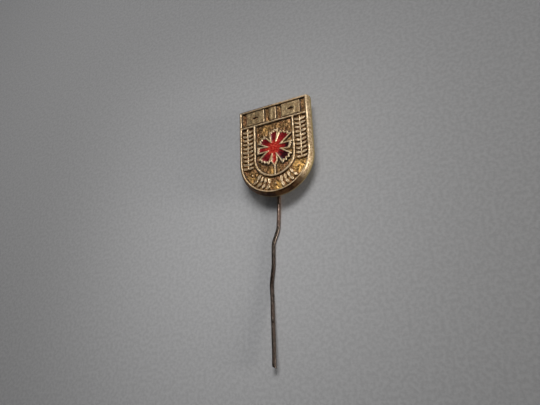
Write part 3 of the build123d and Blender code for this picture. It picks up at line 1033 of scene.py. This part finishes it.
def wire_material():
    """Drawn steel wire: brassy near the badge, then dark with a burnt stretch, rusty towards the tip."""
    g = Graph("needle_steel_wire")
    place = g.place()
    along = g.attribute("along")
    across = g.math("MULTIPLY", g.attribute("around"), 9.0)
    stretched = g.node("ShaderNodeCombineXYZ", {"X": across, "Y": g.math("MULTIPLY", along, 0.35)})
    draw = g.noise(stretched.outputs[0], 3.0, 4.0, 0.6)
    spots = g.noise(place, 1.3, 5.0, 0.65)
    steel = g.patches(draw, 0.35, 0.7, STEEL_WIRE)
    brassy = g.patches(draw, 0.35, 0.7, BRASSY_WIRE)
    uneven = g.math("ADD", along, g.remap(spots, 0.3, 0.7, -1.2, 1.2))
    colour = g.mix(g.remap(uneven, *BRASSY_END), brassy, steel)
    burnt = g.math("MULTIPLY", g.remap(uneven, *BURNT_START), g.remap(uneven, *BURNT_END))
    colour = g.mix(g.math("MULTIPLY", burnt, 0.92), colour, BURNT_WIRE)
    rust_share = g.math("MULTIPLY", g.remap(uneven, *RUST_START, 0.3, 1.0), g.remap(spots, 0.44, 0.60))
    colour = g.mix(rust_share, colour, RUST)
    rough = g.math("ADD", g.remap(draw, 0.3, 0.7, 0.22, 0.36), g.math("MULTIPLY", rust_share, 0.3))
    metal = g.math("SUBTRACT", 1.0, g.math("MULTIPLY", rust_share, 0.75))
    normal = g.bump(draw, 0.25, 0.02)
    normal = g.bump(g.noise(place, 9.0, 4.0, 0.6), 0.3, 0.03, normal)
    return g.finish(Base_Color=colour, Roughness=rough, Metallic=metal, Normal=normal)


def plain_metal(name, colours, rough, scale):
    """A plain metal with clouded tarnish, fine scratches and small pits."""
    g = Graph(name)
    place = g.place()
    cloud = g.noise(place, scale, 5.0, 0.62)
    fine = g.noise(place, scale * 9, 3.0, 0.6)
    colour = g.patches(cloud, 0.35, 0.66, colours)
    colour = g.mix(g.remap(fine, 0.62, 0.75, 0.0, 0.6), colour, colours[1])
    inputs = {"Vector": place, "Rotation": (0, 0, 0.6), "Scale": (0.25, 6.0, 1.0)}
    scratch = g.noise(g.node("ShaderNodeMapping", inputs).outputs[0], 1.5, 3.0, 0.6)
    clouded = g.remap(cloud, 0.3, 0.7, rough, rough + 0.16)
    roughness = g.math("ADD", clouded, g.remap(scratch, 0.55, 0.75, 0, 0.1))
    normal = g.bump(scratch, 0.2, 0.02)
    normal = g.bump(g.cells(place, 3.5), 0.12, 0.02, normal)
    return g.finish(Base_Color=colour, Roughness=roughness, Metallic=1.0, Normal=normal)


def floor_material():
    """A plain pale grey board with a very fine mottle."""
    g = Graph("plain_floor")
    place = g.place()
    mottle = g.noise(place, 1.6, 3.0, 0.6)
    colour = g.patches(mottle, 0.35, 0.65, FLOOR_GREY)
    normal = g.bump(g.noise(place, 2.5, 3.0, 0.6), 0.15, 0.05)
    return g.finish(Base_Color=colour, Roughness=0.75, Specular_IOR_Level=0.3, Normal=normal)


# ======== Floor, lights and camera ========

def make_floor():
    half = FLOOR_SIZE / 2
    mesh = bpy.data.meshes.new("floor")
    corners = [(-half, -half, 0), (half, -half, 0), (half, half, 0), (-half, half, 0)]
    mesh.from_pydata([[v * MM for v in corner] for corner in corners], [], [(0, 1, 2, 3)])
    mesh.materials.append(floor_material())
    floor = bpy.data.objects.new("floor", mesh)
    bpy.context.scene.collection.objects.link(floor)


def area_light(name, place, aim, width, height, power, colour, spread):
    """A soft rectangular light at place, pointed at aim, in millimetres, with a grid of some spread."""
    data = bpy.data.lights.new(name, "AREA")
    data.shape = "RECTANGLE"
    data.size, data.size_y = width * MM, height * MM
    data.energy = power
    data.color = colour
    data.spread = math.radians(spread)
    light = bpy.data.objects.new(name, data)
    bpy.context.scene.collection.objects.link(light)
    place, aim = Vector(place) * MM, Vector(aim) * MM
    turn = (place - aim).to_track_quat("Z", "Y").to_matrix().to_4x4()
    light.matrix_world = Matrix.Translation(place) @ turn


def make_lights():
    area_light("key_light", (85, 290, 310), (-38, 62, 0), 240, 180, 0.0520, (1.0, 0.99, 0.98), 35.5)
    area_light("right_light", (300, -50, 45), (4, 0, 2), 90, 80, 0.0252, (1.0, 0.96, 0.9), 35)
    area_light("pool_light", (-6, 80, 130), (-10, -6, 0), 60, 60, 0.0027, (1.0, 1.0, 1.0), 28)
    world = bpy.data.worlds.new("studio")
    world.use_nodes = True
    background = world.node_tree.nodes["Background"]
    background.inputs["Color"].default_value = rgb(0.75, 0.77, 0.8)
    background.inputs["Strength"].default_value = 0.09
    bpy.context.scene.world = world


def make_camera():
    data = bpy.data.cameras.new("camera")
    data.sensor_width = SENSOR
    data.lens = LENS
    data.clip_start = 0.001
    camera = bpy.data.objects.new("camera", data)
    bpy.context.scene.collection.objects.link(camera)
    place = Vector(CAMERA_PLACE) + Vector((0, CENTRE_Y, FACE_Z))
    turn = Euler([math.radians(angle) for angle in CAMERA_TURN]).to_matrix().to_4x4()
    camera.matrix_world = Matrix.Translation(place * MM) @ turn
    bpy.context.scene.camera = camera


def main():
    bpy.context.scene.view_settings.view_transform = "Standard"
    make_camera()
    make_floor()
    make_lights()
    make_shell(gilt_material())
    make_enamel(enamel_material())
    make_needle(wire_material())
    make_plate(plain_metal("plate_brass_dull", PLATE_BRASS, 0.34, 0.5))
    make_collar(plain_metal("collar_brass_satin", COLLAR_BRASS, 0.25, 1.6))
    make_solder(plain_metal("tin_solder_grey", SOLDER_GREY, 0.38, 1.2))


main()
